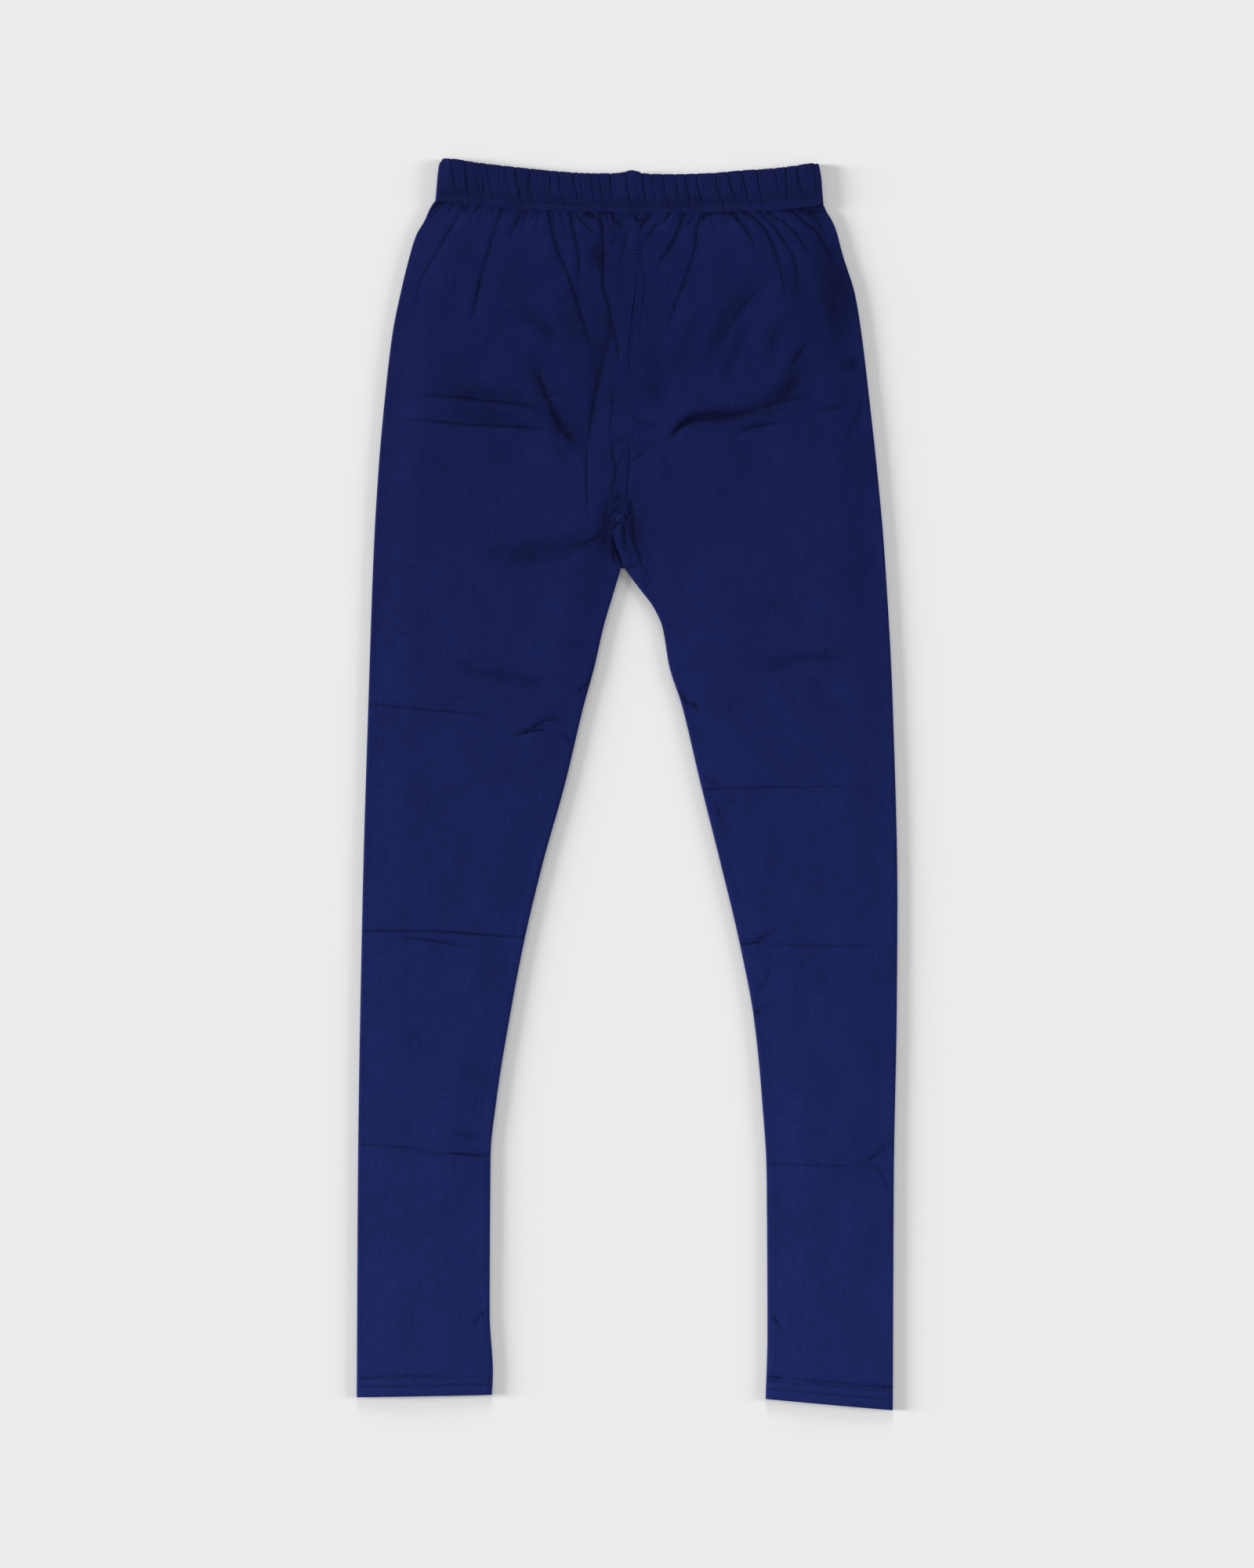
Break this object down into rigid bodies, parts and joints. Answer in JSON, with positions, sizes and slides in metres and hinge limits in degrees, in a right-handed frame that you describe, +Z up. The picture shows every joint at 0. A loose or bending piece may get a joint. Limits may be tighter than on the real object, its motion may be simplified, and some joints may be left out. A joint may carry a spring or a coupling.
{
  "type": "leggings",
  "caption": "Ankle-length knit leggings laid flat, front up, with a gathered elastic waistband, a crotch gusset and stitched hems.",
  "frame": {"origin": "middle of the laid garment's outline, on the surface it lies on", "axes": "+X to the wearer's left leg, which lies at the right seen from above; +Y from the hems to the waist; +Z up, out of the front of the garment"},
  "size_m": [0.4207, 0.9737, 0.0068],
  "materials": {
    "jersey": "soft matt cotton single jersey, navy",
    "waistband_jersey": "the same jersey, gathered on elastic, navy"
  },
  "bodies": {
    "root": {"leg_right": "jersey", "leg_left": "jersey", "gusset": "jersey", "waistband": "waistband_jersey"}
  },
  "joints": []
}
